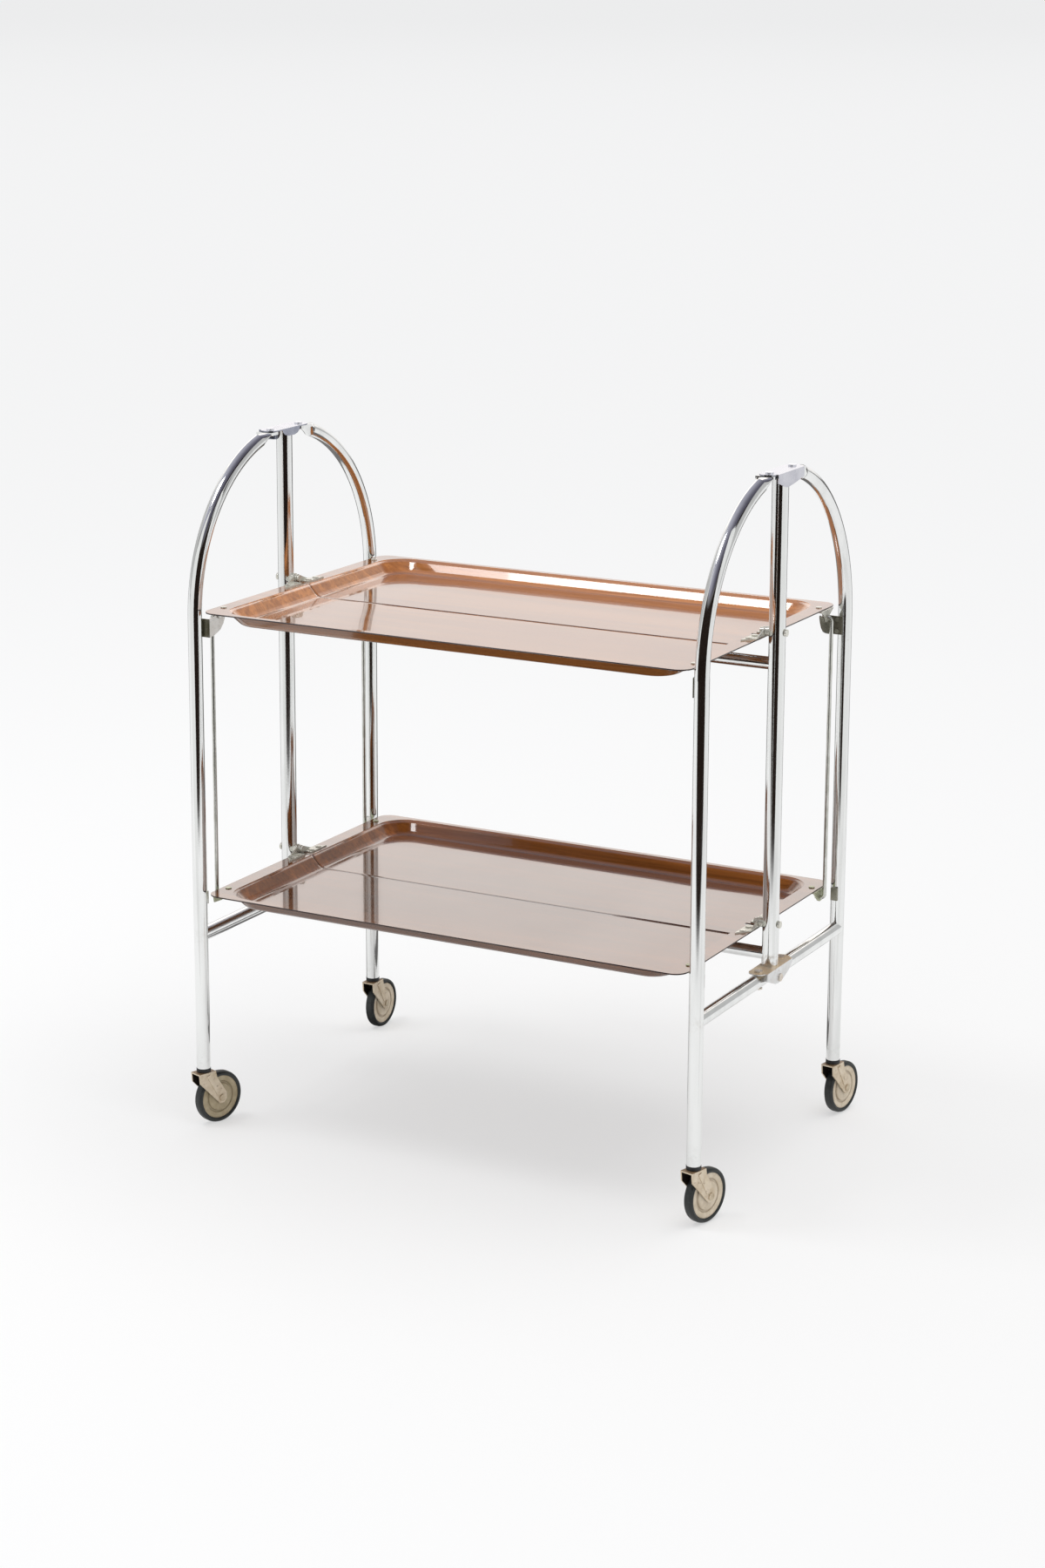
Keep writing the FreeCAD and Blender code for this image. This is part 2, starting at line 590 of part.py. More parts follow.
def make_catch(name, side, end):
    """The hook that holds the link rod's pin, its two rivets, and the small stop lower down."""
    hand = side * end
    body = new_body(f"catch_{name}_hook")
    pin = "upper_flange - rod_drop"
    face = "leg_y - leg_dia / 2 - weld_gap"
    low = f"{pin} - catch_floor - catch_below"
    # drawn for a front leg; its post lies towards +Y, and the tray on the side of -hand
    foot_in, foot_out = f"{hand} * catch_inset", f"{hand} * (catch_inset - catch_wide)"
    foot = outline(body, "XZ", [
        (foot_in, low), (foot_out, low), (foot_out, f"{low} + catch_tall"),
        (foot_in, f"{low} + catch_tall")], f"{face} - catch_sheet")
    pad(body, foot, "catch_sheet")
    slot = "rod_dia / 2 + catch_slot_fit"
    hook = outline(body, "YZ", [
        (f"-({face})", low), (f"-({face} - catch_root)", f"{low} + catch_lead"),
        ("-rod_reach - catch_back", f"{pin} - catch_floor"),
        ("-rod_reach + catch_lip * 0.28", f"{pin} - catch_floor * 0.84"),
        ("-rod_reach + catch_lip * 0.64", f"{pin} - catch_floor * 0.55"),
        ("-rod_reach + catch_lip * 0.87", f"{pin} - catch_floor * 0.2"),
        ("-rod_reach + catch_lip", f"{pin} + catch_tooth * 0.4"),
        ("-rod_reach + catch_lip", f"{pin} + catch_tooth"),
        ("-rod_reach + catch_lip - 2 * catch_lead", f"{pin} + catch_tooth"),
        ("-rod_reach + catch_lip * 0.55", f"{pin} + catch_lead * 0.5"),
        (f"-rod_reach + {slot} + catch_lead", f"{pin} + catch_lead * 1.2"),
        (f"-rod_reach + {slot}", pin),
        (f"-rod_reach + {slot}", f"{pin} - ({slot}) * 0.41"),
        (f"-rod_reach + ({slot}) * 0.41", f"{pin} - ({slot})"),
        (f"-rod_reach - ({slot}) * 0.41", f"{pin} - ({slot})"),
        (f"-rod_reach - ({slot})", f"{pin} - ({slot}) * 0.41"),
        (f"-rod_reach - ({slot})", pin),
        (f"-rod_reach - ({slot}) - catch_lead", f"{pin} + catch_lead * 1.5"),
        (f"-rod_reach - ({slot}) * 2.3", f"{pin} + catch_lead * 1.5"),
        (f"-({face})", f"{low} + catch_tall")],
        "catch_inset" if hand > 0 else "-catch_inset - catch_sheet")
    pad(body, hook, "catch_sheet")
    place(body, f"{side} * post_x", angle=0 if end < 0 else 180)
    pieces = [body]
    for number, rise in enumerate(("catch_rivet", "catch_tall - catch_rivet"), start=1):
        pieces.append(rod_piece(f"catch_{name}_rivet_{number}", "catch_rivet_dia / 2",
                                "tack_head_thick", f"{side} * (post_x - catch_rivet_in)",
                                f"{end} * ({face} - catch_sheet)",
                                f"{low} + {rise}", axis=Vector(1, 0, 0), angle=90 * end))
    stop = doc.addObject("Part::Box", f"catch_{name}_stop")
    bind(stop, "Length", "stop_wide")
    bind(stop, "Width", "stop_thick")
    bind(stop, "Height", "stop_tall")
    place(stop, f"{side} * post_x - stop_wide / 2",
          f"{face} - stop_thick" if end > 0 else f"-({face})",
          "lower_flange - tray_sheet - stop_tall")
    pieces.append(stop)
    keep(group(f"catch_{name}", pieces))


def make_collar(name, side, end):
    """The castor's black collar with its plug inside the leg."""
    body = new_body(f"castor_collar_{name}")
    profile = new_sketch(body, "XZ")
    stem = "stem_dia / 2 + pin_fit"
    add_outline(profile, [
        (stem, "-collar_thick"), ("collar_dia / 2", "-collar_thick"), ("collar_dia / 2", "0"),
        ("leg_dia / 2 - tube_wall - plug_fit", "0"),
        ("leg_dia / 2 - tube_wall - plug_fit", "plug_long"), (stem, "plug_long")])
    revolve(body, profile)
    place(body, f"{side} * post_x", f"{end} * leg_y", "foot_level")
    keep(body)


# ---------------------------------------------------------------- the castors
def castor_place(thing, name, side, end, level, back="0"):
    """Put a castor piece at its leg, turned to its own direction."""
    yaw = f"yaw_{name}"
    place(thing, f"{side} * post_x + ({back}) * cos({yaw})",
          f"{end} * leg_y + ({back}) * sin({yaw})", level)
    bind(thing, "Placement.Rotation.Angle", f"{yaw} - 90")
    return thing


def make_fork(name, side, end):
    """A folded fork; drawn trailing towards +Y with the swivel axis at the origin."""
    body = new_body(f"castor_fork_{name}")
    half = "fork_inside / 2 + fork_sheet"
    top_sketch = outline(body, "XY", [
        (f"-({half})", "-fork_front"), (half, "-fork_front"), (half, "fork_back"),
        (f"-({half})", "fork_back")])
    pad(body, top_sketch, "fork_sheet", backwards=True)
    drop = "-(fork_top - axle_level)"
    for start in (f"-({half})", "fork_inside / 2"):
        cheek = outline(body, "YZ", [
            ("-fork_front", "0"), ("fork_back", "0"), ("fork_back + fork_lean", "-fork_cheek * 0.7"),
            ("castor_trail + fork_tip", f"{drop} + fork_tip * 0.8"),
            ("castor_trail + fork_tip", f"{drop} - fork_tip * 0.4"),
            ("castor_trail + fork_tip * 0.4", f"{drop} - fork_tip"),
            ("castor_trail - fork_tip * 0.5", f"{drop} - fork_tip"),
            ("-fork_front + fork_lean * 2 / 3", "-fork_cheek")], start)
        pad(body, cheek, "fork_sheet")
    for start in (f"-({half}) - rib_proud", half):
        rib = outline(body, "YZ", [
            ("-rib_half", "-rib_half * 2"), ("rib_half * 1.5", "-rib_half * 1.25"),
            ("castor_trail - rib_half * 1.5", f"{drop} + rib_half * 3.25"),
            ("castor_trail - rib_half * 3.5", f"{drop} + rib_half * 2.25")], start)
        pad(body, rib, "rib_proud")
    axle_hole = circle(body, "YZ", "castor_trail", drop, "axle_dia / 2")
    pocket(body, axle_hole, "2 * fork_inside", centred=True)
    neck = circle(body, "XY", "0", "0", "neck_dia / 2")
    pad(body, neck, "neck_tall - seat_gap")
    stem = circle(body, "XY", "0", "0", "stem_dia / 2")
    pad(body, stem, "stem_long")
    castor_place(body, name, side, end, "fork_top")
    keep(body)


def make_wheel(name, side, end):
    """Hub disc, tyre and axle rivet; revolved about Z, then laid along the axle."""
    hub = new_body(f"wheel_hub_{name}")
    half = "hub_wide / 2"
    groove = "hub_groove / 2"
    profile = new_sketch(hub, "XZ")
    side_up = [
        ("hub_dia / 2", half), ("hub_dia / 2 - hub_rim * 0.3", f"{half} + hub_proud"),
        ("hub_dia / 2 - hub_rim", half),
        (f"{groove} + groove_half * 2", f"{half} - hub_proud * 0.6"),
        (f"{groove} + groove_half", f"{half} - groove_deep"),
        (f"{groove} - groove_half", f"{half} - groove_deep"),
        (f"{groove} - groove_half * 2.25", f"{half} + hub_proud * 0.8"),
        ("hub_boss / 2", f"{half} + hub_dish"), ("axle_dia / 2 + pin_fit", f"{half} + hub_dish")]
    side_down = [(x, f"-({z})") for x, z in reversed(side_up)]
    add_outline(profile, side_up + side_down)
    revolve(hub, profile)
    tyre = new_body(f"wheel_tyre_{name}")
    profile = new_sketch(tyre, "XZ")
    seat = "hub_dia / 2 + weld_gap"
    add_outline(profile, [
        (seat, "-tyre_wide / 2 + tyre_bead / 2"), ("hub_dia / 2 + tyre_bead", "-tyre_wide / 2"),
        ("wheel_dia / 2 - tyre_round", "-tyre_wide / 2"),
        ("wheel_dia / 2 - tyre_round * 0.28", "-tyre_wide / 2 + tyre_crown * 0.375"),
        ("wheel_dia / 2", "-tyre_wide / 2 + tyre_crown"),
        ("wheel_dia / 2", "tyre_wide / 2 - tyre_crown"),
        ("wheel_dia / 2 - tyre_round * 0.28", "tyre_wide / 2 - tyre_crown * 0.375"),
        ("wheel_dia / 2 - tyre_round", "tyre_wide / 2"),
        ("hub_dia / 2 + tyre_bead", "tyre_wide / 2"), (seat, "tyre_wide / 2 - tyre_bead / 2")])
    revolve(tyre, profile)
    yaw = size(f"yaw_{name}")
    lying = Rotation(UP, yaw - 90) * Rotation(Vector(0, 1, 0), 90)
    for piece in (hub, tyre):
        place(piece, f"{side} * post_x + castor_trail * cos(yaw_{name})",
              f"{end} * leg_y + castor_trail * sin(yaw_{name})", "axle_level")
        piece.Placement = Placement(piece.Placement.Base, lying)
        keep(piece)
    axle = rivet(f"wheel_axle_{name}", "axle_dia", "axle_head_dia", "axle_head_thick",
                 "fork_inside + 2 * fork_sheet",
                 f"{side} * post_x + castor_trail * cos(yaw_{name})",
                 f"{end} * leg_y + castor_trail * sin(yaw_{name})", "axle_level")
    axle.Placement = Placement(axle.Placement.Base, lying)
    keep(axle)


# ---------------------------------------------------------------- the trays
def make_tray_half(name, flange, end):
    """A pressed half tray: flat flange, sloping walls, coved floor, open at the seam."""
    body = new_body(f"tray_{name}")
    rim = outline(body, "XY", [
        ("-tray_end", "-tray_half_depth"), ("tray_end", "-tray_half_depth"),
        ("tray_end", "tray_half_depth"), ("-tray_end", "tray_half_depth")])
    rim_pad = pad(body, rim, "tray_sheet", backwards=True)
    round_edges(body, rim_pad, upright, "flange_corner")
    run = "tray_deep * tan(wall_slope)"

    def pan(grow, corner, top, bottom, feature_type):
        """A tapered pan between two rounded rectangles."""
        sketches = []
        for level, shrink in ((top, "0"), (bottom, f"({run}) * (({top}) - ({bottom})) / tray_deep")):
            sketch = new_sketch(body, "XY", level)
            half_x = f"tray_end - end_flange + {grow} - ({shrink})"
            half_y = f"tray_half_depth - side_flange + {grow} - ({shrink})"
            add_rounded(sketch, half_x, half_y, f"{corner} + {grow} - ({shrink}) * 0.6")
            sketches.append(sketch)
        feature = body.newObject(feature_type, "Pan")
        feature.Profile = sketches[0]
        feature.Sections = [sketches[1]]
        feature.Ruled = True
        return feature

    wall_grow = "tray_sheet / cos(wall_slope) - tray_sheet * tan(wall_slope)"
    outside = pan(wall_grow, "pan_corner", "-tray_sheet", "-tray_deep - tray_sheet",
                  "PartDesign::AdditiveLoft")
    floor_low = size("-tray_deep - tray_sheet")
    round_edges(body, outside, lambda middle, run_: abs(middle.z - floor_low) < NEAR,
                "cove_rad + tray_sheet")
    inside = pan("0", "pan_corner", "0", "-tray_deep", "PartDesign::SubtractiveLoft")
    floor_top = size("-tray_deep")
    round_edges(body, inside, lambda middle, run_: abs(middle.z - floor_top) < NEAR
                and abs(middle.x) < size("tray_end - end_flange - 3"), "cove_rad")
    other_half = outline(body, "XY", [
        ("-tray_length", "-seam_gap / 2"), ("tray_length", "-seam_gap / 2"),
        ("tray_length", "tray_length"), ("-tray_length", "tray_length")])
    pocket(body, other_half, "8 * tray_deep", centred=True)
    place(body, z=flange, angle=0 if end < 0 else 180)
    keep(body)


def add_rounded(sketch, half_x, half_y, radius):
    """A rectangle with round corners about the origin, fully dimensioned."""
    hx, hy, r = size(half_x), size(half_y), size(radius)
    corners = ((1, 1), (-1, 1), (-1, -1), (1, -1))
    arcs = []
    for number, (sx, sy) in enumerate(corners):
        middle = Vector(sx * (hx - r), sy * (hy - r), 0)
        bend = Part.Circle(middle, UP, r)
        quarter = 1.5707963267948966
        arcs.append(sketch.addGeometry(Part.ArcOfCircle(bend, number * quarter,
                                                        (number + 1) * quarter)))
    lines = []
    for number in range(4):
        start = sketch.getPoint(arcs[number], 2)
        finish = sketch.getPoint(arcs[(number + 1) % 4], 1)
        lines.append(sketch.addGeometry(Part.LineSegment(start, finish)))
    for number in range(4):
        sketch.addConstraint(Sketcher.Constraint("Tangent", arcs[number], 2, lines[number], 1))
        sketch.addConstraint(Sketcher.Constraint("Tangent", lines[number], 2,
                                                 arcs[(number + 1) % 4], 1))
    for number, (sx, sy) in enumerate(corners):
        fix(sketch, "DistanceX", arcs[number], 3, f"{sx} * ({half_x} - ({radius}))")
        fix(sketch, "DistanceY", arcs[number], 3, f"{sy} * ({half_y} - ({radius}))")
    index = sketch.addConstraint(Sketcher.Constraint("Radius", arcs[0], r))
    bind(sketch, f"Constraints[{index}]", radius)


def make_ears(name, flange, end):
    """The two hinge ears of a half tray, each with its foot and two rivets."""
    pieces = []
    layer = "tray_end" if end < 0 else "tray_end - ear_sheet - seat_gap"
    for side, side_name in ((-1, "left"), (1, "right")):
        label = f"ear_{name}_{side_name}"
        body = new_body(label)
        near = "seam_gap + ear_boss"
        inner_face = f"{layer} - ear_sheet" if side > 0 else f"-({layer})"
        blade = outline(body, "YZ", [
            ("-ear_foot * 0.6", "0"), ("-seam_gap", "0"), ("0", "hinge_rise - ear_boss"),
            ("0", "hinge_rise + ear_boss"), ("-ear_boss * 0.7", "hinge_rise + ear_boss * 0.7"),
            ("-ear_foot * 0.47", "ear_toe")], inner_face)
        pad(body, blade, "ear_sheet")
        boss = circle(body, "YZ", "0", "hinge_rise", "ear_boss", inner_face)
        pad(body, boss, "ear_sheet")
        foot_x = f"{side} * ({layer})"
        foot_in = f"{side} * ({layer} - ear_width)"
        foot = outline(body, "XY", [
            (foot_in, "-ear_foot"), (foot_in, f"-({near})"),
            (foot_x, f"-({near})"), (foot_x, "-ear_foot * 0.6")])
        pad(body, foot, "ear_sheet")
        hole = circle(body, "YZ", "0", "hinge_rise", "bolt_dia / 2 + pin_fit", foot_x)
        pocket(body, hole, "2 * ear_width", centred=True)
        place(body, z=flange, angle=0 if end < 0 else 180)
        pieces.append(body)
        for number, out in enumerate(("ear_foot * 0.72", "ear_foot * 0.34"), start=1):
            pieces.append(rivet_through(f"{label}_rivet_{number}", end,
                                        f"{side * (1 if end < 0 else -1)} * ({layer} - ear_width * 0.62)",
                                        f"-({out})", flange, "ear_sheet"))
    keep(group(f"hinge_ears_{name}", pieces))


def rivet_through(label, end, x, y, flange, above):
    """A small rivet head standing on what lies on the flange; a positive end mirrors it."""
    turn = 1 if end < 0 else -1
    return rod_piece(label, "tack_head_dia / 2", "tack_head_thick", f"{turn} * ({x})" if turn < 0 else x,
                     f"{turn} * ({y})", f"{flange} + {above}")


def make_corner_brackets(name, flange, end, tier):
    """The two plates under the flange's corners that carry the link rods' pins."""
    pieces = []
    for side, side_name in ((-1, "left"), (1, "right")):
        label = f"corner_{name}_{side_name}"
        body = new_body(label)
        plate_out = "post_x - tongue_inset"
        start = f"{plate_out} - tongue_sheet" if side > 0 else f"-({plate_out})"
        tip_level = "-rod_drop - tongue_tip"
        top = "-tray_sheet"
        if tier == "upper":
            corners = [
                ("-rod_reach - tongue_top * 0.55", top), ("-rod_reach + tongue_top * 0.45", top),
                ("-rod_reach + tongue_tip", "-rod_drop"),
                ("-rod_reach + tongue_tip * 0.6", tip_level),
                ("-rod_reach - tongue_tip * 0.6", tip_level),
                ("-rod_reach - tongue_tip", "-rod_drop")]
        else:
            corners = [
                ("-rod_reach - tongue_top * 0.5", top), ("-rod_reach + tongue_top * 0.5", top),
                ("-rod_reach + tongue_tip", f"{tip_level} + tongue_tip * 0.4"),
                ("-rod_reach", tip_level),
                ("-rod_reach - tongue_top * 0.45", f"{tip_level} + tongue_tip * 0.2")]
        blade = outline(body, "YZ", corners, start)
        pad(body, blade, "tongue_sheet")
        foot_out, foot_in = f"{side} * ({plate_out})", f"{side} * (tray_end - corner_foot)"
        foot = outline(body, "XY", [
            (foot_in, "-rod_reach - tongue_top * 0.4"), (foot_in, "-rod_reach + tongue_top * 0.35"),
            (foot_out, "-rod_reach + tongue_top * 0.45"),
            (foot_out, "-rod_reach - tongue_top * 0.5")], top)
        pad(body, foot, "tongue_sheet", backwards=True)
        fit = "rod_dia / 2 + pin_fit" if tier == "upper" else "rod_dia / 2 + seat_gap"
        hole = circle(body, "YZ", "-rod_reach", "-rod_drop", fit, foot_out)
        pocket(body, hole, "2 * corner_foot", centred=True)
        place(body, z=flange, angle=0 if end < 0 else 180)
        pieces.append(body)
        x = f"{side * (1 if end < 0 else -1)} * (tray_end - corner_foot * 0.6)"
        pieces.append(rivet_through(f"{label}_rivet", end, x, "-rod_reach", flange, "0"))
    keep(group(f"corner_brackets_{name}", pieces))


def make_rod(name, side, end):
    """A link rod between the upper and lower corner brackets, both ends bent inboard."""
    body = new_body(f"link_rod_{name}")
    path = new_sketch(body, "XZ")
    top, low = "upper_flange - rod_drop", "lower_flange - rod_drop"
    tip, out, bent = f"{-side} * pin_inset", f"{-side} * rod_inset", f"{-side} * (rod_inset + rod_bend)"
    spots = [(tip, top), (bent, top), (out, f"{top} - rod_bend"),
             (out, f"{low} + rod_bend"), (bent, low), (tip, low)]
    points = [Vector(size(x), size(z), 0) for x, z in spots]
    slant = size("rod_bend") * (0.5 ** 0.5)
    centres = [Vector(points[1].x, points[2].y, 0), Vector(points[4].x, points[3].y, 0)]
    outward = Vector(side * slant, slant, 0)
    upper_bend = Part.Arc(points[1], centres[0] + outward, points[2])
    outward = Vector(side * slant, -slant, 0)
    lower_bend = Part.Arc(points[3], centres[1] + outward, points[4])
    for piece in (Part.LineSegment(points[0], points[1]), upper_bend,
                  Part.LineSegment(points[2], points[3]), lower_bend,
                  Part.LineSegment(points[4], points[5])):
        path.addGeometry(piece)
    for number, (x, z) in enumerate(spots):
        line, point = 2 * (number // 2), 1 + number % 2
        fix(path, "DistanceX", line, point, x)
        fix(path, "DistanceY", line, point, z)
    profile = circle(body, "YZ", "0", top, "rod_dia / 2", tip)
    pipe = body.newObject("PartDesign::AdditivePipe", "Rod")
    pipe.Profile = profile
    pipe.Spine = (path, [])
    place(body, f"{side} * post_x", f"{end} * rod_reach")
    keep(body)


# ---------------------------------------------------------------- assembly
UPPER_PLATE = "lug_level + lug_thick / 2 + seat_gap"
LOWER_PLATE = "cross_level + leg_dia / 2 + seat_gap"
for side, side_name in ((-1, "left"), (1, "right")):
    make_post(side, side_name)
    make_bracket(f"top_bracket_{side_name}", side, UPPER_PLATE, "top_skirt_depth", TOP_SKIRT)
    make_bracket(f"lower_bracket_{side_name}", side, LOWER_PLATE, "low_skirt_depth", LOW_SKIRT)
for tier, flange in (("upper", "upper_flange"), ("lower", "lower_flange")):
    make_rail(tier, flange)
make_bracket_rivets(UPPER_PLATE, LOWER_PLATE)
make_hinge_bolts()
for side, side_name in ((-1, "left"), (1, "right")):
    for end, end_name in ((-1, "front"), (1, "back")):
        corner = f"{side_name}_{end_name}"
        make_leg(corner, side, end)
        make_cross_tube(corner, side, end)
        make_catch(corner, side, end)
        make_collar(corner, side, end)
        make_fork(corner, side, end)
        make_wheel(corner, side, end)
        make_rod(corner, side, end)
for tier, flange in (("upper", "upper_flange"), ("lower", "lower_flange")):
    for end, end_name in ((-1, "front"), (1, "back")):
        half_name = f"{tier}_{end_name}"
        make_tray_half(half_name, flange, end)
        make_ears(half_name, flange, end)
        make_corner_brackets(half_name, flange, end, tier)

doc.recompute()
for thing in doc.Objects:
    if "Invalid" in thing.State or "Error" in thing.State:
        raise RuntimeError(f"{thing.Name} ({thing.Label}) failed: {thing.State}")
os.makedirs("parts", exist_ok=True)
for piece in KEPT:
    shape = piece.Shape
    if shape.isNull() or not shape.isValid():
        raise RuntimeError(f"{piece.Label} has no valid shape")
for piece in KEPT:
    piece.Shape.exportStep(os.path.join("parts", piece.Label + ".step"))
print(len(KEPT), "sub-parts written")
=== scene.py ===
import math

import bpy
from mathutils import Matrix, Vector

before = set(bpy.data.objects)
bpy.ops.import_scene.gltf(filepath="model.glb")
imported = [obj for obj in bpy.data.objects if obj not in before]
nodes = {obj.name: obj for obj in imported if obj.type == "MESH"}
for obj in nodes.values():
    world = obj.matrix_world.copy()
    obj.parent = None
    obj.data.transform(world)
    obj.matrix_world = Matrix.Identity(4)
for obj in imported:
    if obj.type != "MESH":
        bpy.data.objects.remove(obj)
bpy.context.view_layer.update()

# Lengths are in metres and levels are heights above the floor, both in the part's own frame.
# Colours with values up to 255 are screen values, the others are linear light.

# ---------------------------------------------------------------- camera
FOCAL_PX = 3652.6
IMAGE_W, IMAGE_H = 1200, 1800
CENTRE_PX = (598.7, 784.8)
CAMERA_AT = Vector((1.6595, -3.0848, 1.3337))
AZIMUTH, PITCH, ROLL = math.radians(28.28), math.radians(13.04), math.radians(0.237)
SENSOR = 36.0
FARTHEST_SEEN = 500
TOWARDS_CAMERA = Vector((math.sin(AZIMUTH), -math.cos(AZIMUTH), 0))
TO_THE_RIGHT = Vector((math.cos(AZIMUTH), math.sin(AZIMUTH), 0))


def add_camera():
    ahead = Vector((-math.sin(AZIMUTH) * math.cos(PITCH), math.cos(AZIMUTH) * math.cos(PITCH),
                    -math.sin(PITCH)))
    above = TO_THE_RIGHT.cross(ahead)
    right = TO_THE_RIGHT * math.cos(ROLL) + above * math.sin(ROLL)
    up = above * math.cos(ROLL) - TO_THE_RIGHT * math.sin(ROLL)
    data = bpy.data.cameras.new("camera")
    data.lens = FOCAL_PX * SENSOR / IMAGE_H
    data.sensor_width = SENSOR
    data.shift_x = (IMAGE_W / 2 - CENTRE_PX[0]) / IMAGE_H
    data.shift_y = (CENTRE_PX[1] - IMAGE_H / 2) / IMAGE_H
    data.clip_end = FARTHEST_SEEN
    camera = bpy.data.objects.new("camera", data)
    bpy.context.scene.collection.objects.link(camera)
    turn = Matrix((right, up, -ahead)).transposed().to_4x4()
    camera.matrix_world = Matrix.Translation(CAMERA_AT) @ turn
    bpy.context.scene.camera = camera


# ---------------------------------------------------------------- node helpers
class Nodes:
    """Short calls for building one node tree."""

    def __init__(self, tree):
        self.tree = tree
        tree.nodes.clear()

    def add(self, kind, inputs=None, **settings):
        node = self.tree.nodes.new(kind)
        for name, value in settings.items():
            setattr(node, name, value)
        for key, value in (inputs or {}).items():
            self.put(node.inputs[key], value)
        return node

    def put(self, socket, value):
        if isinstance(value, bpy.types.NodeSocket):
            self.tree.links.new(value, socket)
        elif isinstance(value, bpy.types.Node):
            self.tree.links.new(value.outputs[0], socket)
        else:
            socket.default_value = value

    def math(self, operation, a, b=0.0, c=0.0, clamp=False):
        node = self.add("ShaderNodeMath", {0: a, 1: b, 2: c}, operation=operation, use_clamp=clamp)
        return node.outputs[0]

    def times(self, a, b):
        return self.math("MULTIPLY", a, b)

    def vector(self, operation, a, b=(0, 0, 0)):
        node = self.add("ShaderNodeVectorMath", {0: a, 1: b}, operation=operation)
        return node.outputs["Value" if operation in ("DOT_PRODUCT", "DISTANCE") else "Vector"]

    def mix(self, factor, a, b):
        """Colour a, or colour b where the factor is 1."""
        return self.add("ShaderNodeMix", {0: factor, 6: a, 7: b}, data_type="RGBA").outputs[2]

    def blend(self, factor, a, b):
        """Number a, or number b where the factor is 1."""
        return self.add("ShaderNodeMix", {0: factor, 2: a, 3: b}, data_type="FLOAT").outputs[0]

    def step(self, value, low, high, to_low=0.0, to_high=1.0):
        return self.add("ShaderNodeMapRange", {
            "Value": value, "From Min": low, "From Max": high, "To Min": to_low, "To Max": to_high,
        }, interpolation_type="SMOOTHSTEP").outputs[0]

    def noise(self, vector, scale, detail=4.0, rough=0.55):
        return self.add("ShaderNodeTexNoise", {
            "Vector": vector, "Scale": scale, "Detail": detail, "Roughness": rough}).outputs[0]

    def place(self):
        """The point's place in the part's own frame, whatever the pose."""
        return self.add("ShaderNodeTexCoord").outputs["Object"]

    def outward(self):
        """The way the face looks in the part's own frame, whatever the pose."""
        normal = self.add("ShaderNodeNewGeometry").outputs["True Normal"]
        return self.add("ShaderNodeVectorTransform", {"Vector": normal}, vector_type="NORMAL",
                        convert_from="WORLD", convert_to="OBJECT").outputs[0]

    def scaled(self, vector, scale):
        return self.add("ShaderNodeMapping", {"Vector": vector, "Scale": scale}).outputs[0]

    def split(self, vector):
        return self.add("ShaderNodeSeparateXYZ", {"Vector": vector}).outputs

    def recess(self, reach):
        """1 deep in the piece's own corners and slots, 0 on its open faces."""
        open_sky = self.add("ShaderNodeAmbientOcclusion", {"Distance": reach}, samples=8,
                            only_local=True)
        return self.step(open_sky.outputs["AO"], 0.35, 0.85, 1.0, 0.0)

    def bump(self, height, strength, distance):
        return self.add("ShaderNodeBump", {
            "Height": height, "Strength": strength, "Distance": distance}).outputs[0]


def srgb(colour, times=1.0):
    """A screen colour, made lighter or darker, as linear light."""
    values = [min(255, v * times) for v in colour]
    return tuple(((v / 255 + 0.055) / 1.055) ** 2.4 if v > 10 else v / 255 / 12.92
                 for v in values) + (1.0,)


def material(name):
    """A material with one shader: itself, its nodes and the shader's sockets."""
    made = bpy.data.materials.new(name)
    made.use_nodes = True
    n = Nodes(made.node_tree)
    out = n.add("ShaderNodeOutputMaterial")
    shader = n.add("ShaderNodeBsdfPrincipled")
    n.put(out.inputs["Surface"], shader)
    return made, n, shader.inputs


# ---------------------------------------------------------------- materials
PLATING, WIPED, PITTED = (238, 239, 238), (228, 229, 228), (120, 98, 74)
# The fork's inner faces get a nearly black colour, a painted shade.
BRIGHT_ZINC, PAINTED_INNER_SHADE, RUST = (238, 238, 242), (38, 30, 24), (122, 84, 54)
# The cut edges' dark brown, also used for the seam line, which is partly painted shade.
CUT_EDGE_AND_SEAM_SHADE = (50, 32, 24)
SCUFFED = (104, 102, 96)
GRUBBY = (96, 74, 50)


def chrome(name, rough=0.08, stains=()):
    """Plated tube: bright metal with faint pitting and wiping marks. Each stain is a level, its
    reach above and below that level, its strength and its colour."""
    made, n, put = material(name)
    here = n.place()
    wiped = n.noise(n.scaled(here, (60, 60, 9)), 1.0, 3.0)
    fine = n.noise(here, 900.0, 2.0)
    pits = n.step(n.noise(here, 330.0, 2.0, 0.7), 0.70, 0.76)
    patch = n.step(n.noise(here, 14.0, 3.0), 0.52, 0.70)
    worn = n.times(pits, patch)
    colour = n.mix(n.step(wiped, 0.35, 0.75), srgb(PLATING), srgb(WIPED))
    colour = n.mix(n.times(worn, 0.75), colour, srgb(PITTED))
    roughness = n.math("ADD", n.step(wiped, 0.3, 0.8, rough * 0.7, rough * 1.5),
                       n.times(worn, 0.35))
    height = n.split(here)[2]
    for level, reach, strength, shade in stains:
        away = n.math("ABSOLUTE", n.math("SUBTRACT", height, level))
        near = n.math("SUBTRACT", 1.0, n.math("DIVIDE", away, reach), clamp=True)
        ragged = n.step(n.noise(here, 160.0, 4.0, 0.7), 0.40, 0.66)
        stained = n.times(n.times(near, ragged), strength)
        colour = n.mix(stained, colour, srgb(shade))
        roughness = n.math("ADD", roughness, n.times(stained, 0.4))
    n.put(put["Base Color"], colour)
    n.put(put["Roughness"], roughness)
    put["Metallic"].default_value = 1.0
    n.put(put["Normal"], n.bump(n.math("ADD", fine, n.times(worn, -2.0)), 0.06, 0.0002))
    return made


